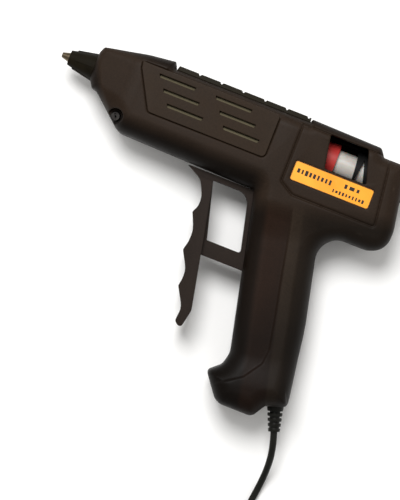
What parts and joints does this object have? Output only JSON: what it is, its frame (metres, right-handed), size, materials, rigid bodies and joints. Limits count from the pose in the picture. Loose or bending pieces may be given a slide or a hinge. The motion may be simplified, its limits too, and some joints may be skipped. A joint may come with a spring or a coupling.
{
  "type": "glue gun",
  "caption": "Corded hot-melt glue gun with a sliding four-finger trigger, vented side panels, a stick window, a ribbed top guard and a coiled mains lead with its plug.",
  "frame": {"origin": "centre of the gun's plan, without its cord, on the surface that its right side lies on", "axes": "+X from the nozzle to the back along the barrel, -Y down the handle, +Z out of the gun's left side"},
  "size_m": [0.2154, 0.3265, 0.04],
  "materials": {
    "housing": "fine spark-eroded texture",
    "guard": "matte moulded",
    "panel": "fine spark-eroded texture",
    "trigger": "matte moulded",
    "black_plastic": "matte moulded",
    "label_face": "printed film",
    "nozzle_cover": "moulded silicone",
    "brass": "turned",
    "steel": "plain",
    "aluminium": "as cast",
    "insulation": "pressed fibre",
    "ceramic": "unglazed",
    "lead_insulation": "silicone",
    "red_silicone": "moulded silicone",
    "glue": "translucent",
    "cord_rubber": "satin",
    "plug_rubber": "matte",
    "pin_metal": "nickel plated"
  },
  "bodies": {
    "gun": {"housing_left": "housing", "housing_right": "housing", "top_guard": "guard", "vent_panel_left": "panel", "vent_panel_right": "panel", "label": "label_face", "inlet_collar": "black_plastic", "nozzle_cover": "nozzle_cover", "nozzle": "brass", "valve_ball": "steel", "valve_spring": "steel", "melting_chamber": "aluminium", "front_support": "insulation", "rear_support": "insulation", "heater_element": "ceramic", "heater_clip": "steel", "heater_leads": "lead_insulation", "inlet_sleeve": "red_silicone", "sleeve_clamp": "steel", "rocker_pin": "steel", "housing_screws": "steel", "terminal_block": "ceramic", "cord_clamp": "black_plastic", "cord_clamp_screws": "steel", "cord_inner": "cord_rubber", "strain_relief": "cord_rubber", "cord_lead": "cord_rubber", "cord_coil": "cord_rubber", "cord_tie": "cord_rubber", "cord_tail": "cord_rubber", "plug_body": "plug_rubber", "plug_pins": "pin_metal"},
    "trigger": {"trigger": "trigger", "trigger_spring": "steel"},
    "rocker": {"rocker_lever": "black_plastic", "drive_pin": "steel", "link_pin": "steel"},
    "carriage": {"feed_carriage": "black_plastic", "jaw_pin": "steel", "glue_stick": "glue"},
    "jaw": {"clamp_jaw": "steel"}
  },
  "joints": [
    {"name": "trigger_slide", "type": "slide", "parent": "gun", "child": "trigger", "axis": [1, 0, 0], "range_m": [0, 0.016], "stiffness_N_per_m": 350, "springref_m": -0.012, "deforming": ["trigger_spring"]},
    {"name": "rocker_pivot", "type": "hinge", "parent": "gun", "child": "rocker", "pos_m": [0.05225, 0.0391, 0.02], "axis": [0, 0, 1], "range_deg": [0, 38.5]},
    {"name": "carriage_slide", "type": "slide", "parent": "gun", "child": "carriage", "axis": [-1, 0, 0], "range_m": [0, 0.0101]},
    {"name": "jaw_pivot", "type": "hinge", "parent": "carriage", "child": "jaw", "pos_m": [0.07925, 0.0542, 0.02], "axis": [0, 0, 1], "range_deg": [0, 3]}
  ],
  "couplings": [
    {"joint": "rocker_pivot", "follows": "trigger_slide", "rad_per_m": 41.667},
    {"joint": "carriage_slide", "follows": "trigger_slide", "ratio": 0.625},
    {"joint": "jaw_pivot", "follows": "trigger_slide", "rad_per_m": 3.2}
  ]
}
